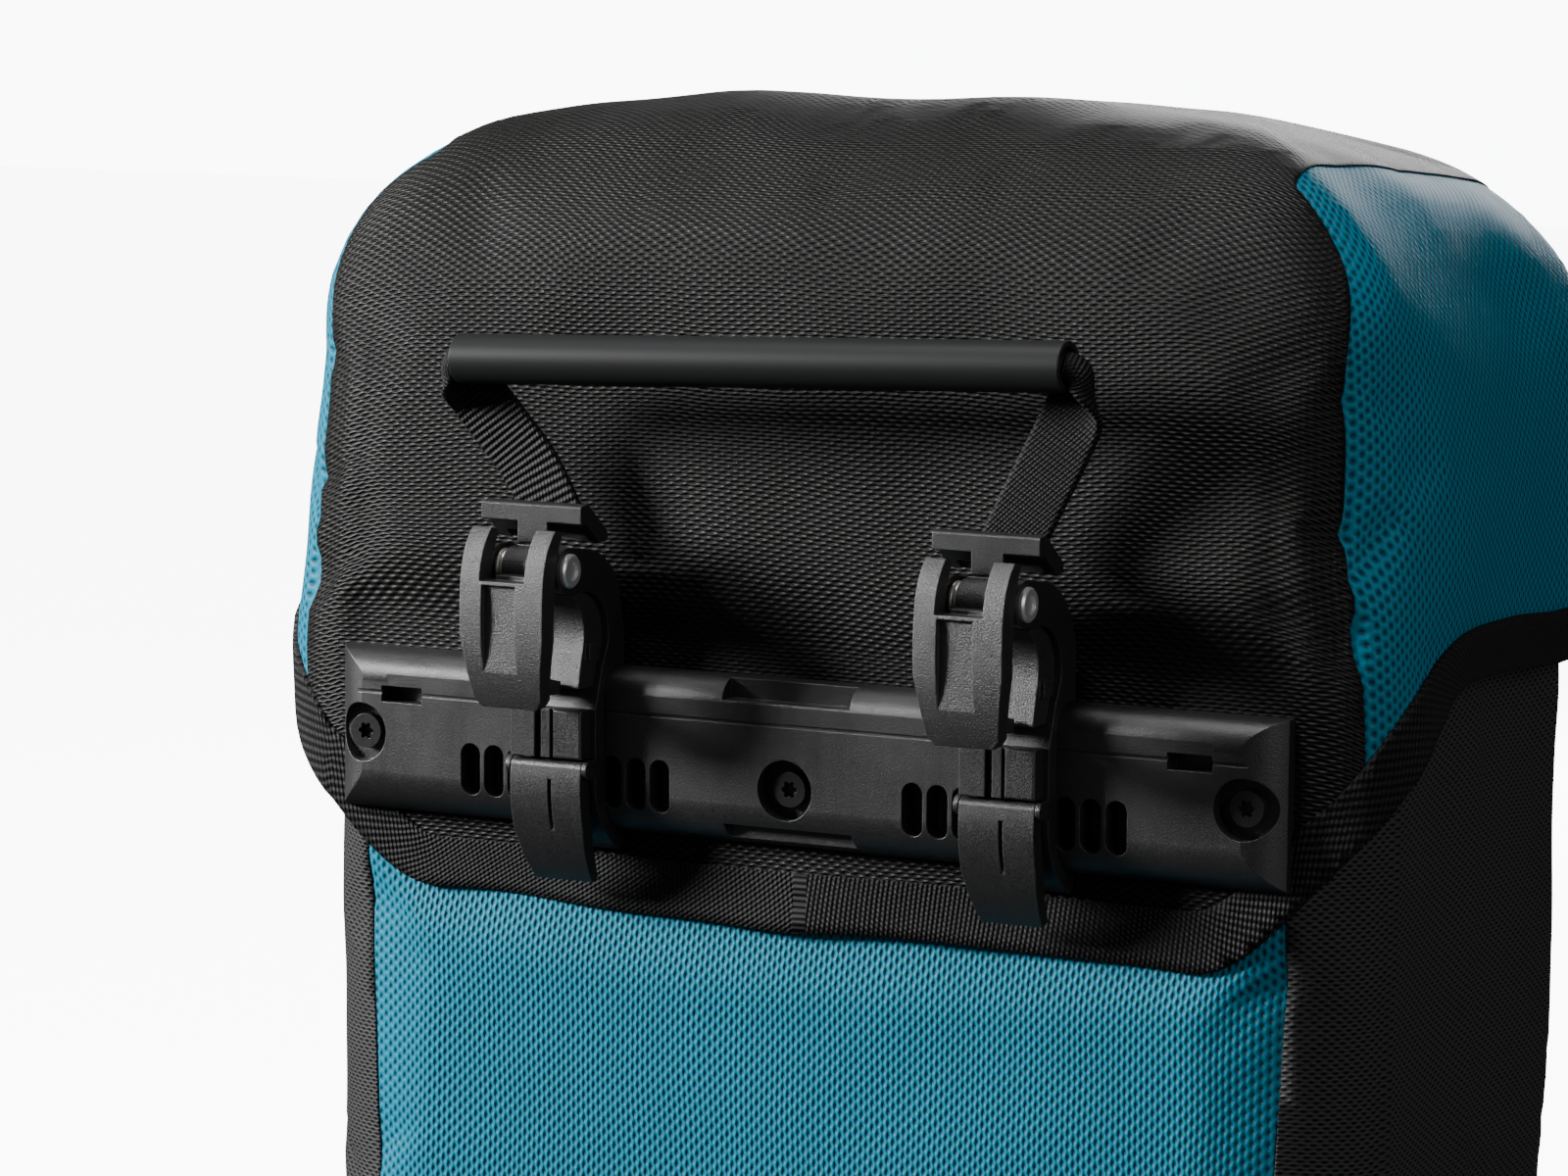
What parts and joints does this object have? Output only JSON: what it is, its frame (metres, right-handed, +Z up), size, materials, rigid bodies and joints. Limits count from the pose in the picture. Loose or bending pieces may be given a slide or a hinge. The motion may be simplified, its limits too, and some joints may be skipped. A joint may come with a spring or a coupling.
{
  "type": "pannier bag",
  "caption": "Upright bicycle pannier with a hooded lid, a rear rail carrying two latching rack hooks, a carrying tube on straps and a swivelling lower hook.",
  "frame": {"origin": "centre of the bag's bounding box, on the surface that the base stands on", "axes": "+X across the bag, -Y towards the bicycle (rail and hooks), +Y outer face with the buckle, +Z up"},
  "size_m": [0.3456, 0.2288, 0.412],
  "materials": {
    "blue_cloth": "coated weave, satin",
    "gusset_cloth": "coated weave, satin",
    "lid_cloth": "coated weave, satin",
    "binding_tape": "twill tape, matt",
    "webbing": "woven webbing, matt",
    "handle_rubber": "satin",
    "bright_steel": "polished",
    "black_steel": "satin black",
    "aluminium_strip": "mill finish",
    "board": "matt",
    "lining": "thin coated cloth",
    "reflector": "retroreflective film",
    "black_plastic": "fine texture, satin"
  },
  "bodies": {
    "bag": {"back_panel": "blue_cloth", "front_panel": "blue_cloth", "gusset_left": "gusset_cloth", "gusset_right": "gusset_cloth", "base_panel": "gusset_cloth", "rim_hem": "binding_tape", "stiffener_board": "board", "rail_backing_strip": "aluminium_strip", "inner_pocket": "lining", "lid_back_panel": "lid_cloth", "lid_tail_binding": "binding_tape", "rail": "black_plastic", "rail_screws": "black_steel", "lower_rail": "black_plastic", "lower_rail_screws": "black_steel", "bag_strap": "webbing", "buckle_socket": "black_plastic", "reflectors": "reflector"},
    "lid": {"lid_shell": "lid_cloth", "lid_side_left": "blue_cloth", "lid_side_right": "blue_cloth", "lid_binding": "binding_tape", "lid_strap": "webbing", "buckle_plug": "black_plastic"},
    "handle": {"handle_tube": "handle_rubber"},
    "lower_slider": {"lower_hook_slider": "black_plastic"},
    "lower_hook": {"lower_hook": "black_plastic", "lower_hook_screw": "black_steel"},
    "hook_left": {"hook_left": "black_plastic", "hook_insert_left": "black_plastic", "latch_rivet_left": "bright_steel", "latch_spring_left": "bright_steel", "lock_block_left": "black_plastic", "lock_pin_left": "black_steel"},
    "clip_left": {"strap_clip_left": "black_plastic", "handle_webbing_left": "webbing"},
    "latch_left": {"latch_left": "black_plastic"},
    "lock_flap_left": {"lock_flap_left": "black_plastic"},
    "hook_right": {"hook_right": "black_plastic", "hook_insert_right": "black_plastic", "latch_rivet_right": "bright_steel", "latch_spring_right": "bright_steel", "lock_block_right": "black_plastic", "lock_pin_right": "black_steel"},
    "clip_right": {"strap_clip_right": "black_plastic", "handle_webbing_right": "webbing"},
    "latch_right": {"latch_right": "black_plastic"},
    "lock_flap_right": {"lock_flap_right": "black_plastic"}
  },
  "joints": [
    {"name": "lid_hinge", "type": "hinge", "parent": "bag", "child": "lid", "pos_m": [0, -0.069, 0.372], "axis": [1, 0, 0], "range_deg": [0, 95]},
    {"name": "handle_lift", "type": "slide", "parent": "bag", "child": "handle", "axis": [0, 0, 1], "range_m": [0, 0.01]},
    {"name": "lower_hook_slide", "type": "slide", "parent": "bag", "child": "lower_slider", "axis": [1, 0, 0], "range_m": [-0.06, 0.06]},
    {"name": "lower_hook_turn", "type": "hinge", "parent": "lower_slider", "child": "lower_hook", "pos_m": [0, -0.0834, 0.072], "axis": [0, 1, 0], "range_deg": [-60, 60]},
    {"name": "hook_left_slide", "type": "slide", "parent": "bag", "child": "hook_left", "axis": [-1, 0, 0], "range_m": [0, 0.0154]},
    {"name": "clip_left_lift", "type": "slide", "parent": "hook_left", "child": "clip_left", "axis": [0, 0, 1], "range_m": [0, 0.01]},
    {"name": "latch_left_turn", "type": "hinge", "parent": "hook_left", "child": "latch_left", "pos_m": [-0.0704, -0.1014, 0.2866], "axis": [1, 0, 0], "range_deg": [-35, 0], "stiffness_Nm_per_rad": 0.05},
    {"name": "lock_flap_left_turn", "type": "hinge", "parent": "hook_left", "child": "lock_flap_left", "pos_m": [-0.0704, -0.089, 0.2292], "axis": [1, 0, 0], "range_deg": [-60, 0]},
    {"name": "hook_right_slide", "type": "slide", "parent": "bag", "child": "hook_right", "axis": [1, 0, 0], "range_m": [0, 0.0154]},
    {"name": "clip_right_lift", "type": "slide", "parent": "hook_right", "child": "clip_right", "axis": [0, 0, 1], "range_m": [0, 0.01]},
    {"name": "latch_right_turn", "type": "hinge", "parent": "hook_right", "child": "latch_right", "pos_m": [0.0704, -0.1014, 0.2866], "axis": [1, 0, 0], "range_deg": [-35, 0], "stiffness_Nm_per_rad": 0.05},
    {"name": "lock_flap_right_turn", "type": "hinge", "parent": "hook_right", "child": "lock_flap_right", "pos_m": [0.0704, -0.089, 0.2292], "axis": [1, 0, 0], "range_deg": [-60, 0]}
  ],
  "couplings": [
    {"joint": "clip_left_lift", "follows": "handle_lift", "ratio": 1},
    {"joint": "latch_left_turn", "follows": "handle_lift", "rad_per_m": -61},
    {"joint": "clip_right_lift", "follows": "handle_lift", "ratio": 1},
    {"joint": "latch_right_turn", "follows": "handle_lift", "rad_per_m": -61}
  ]
}
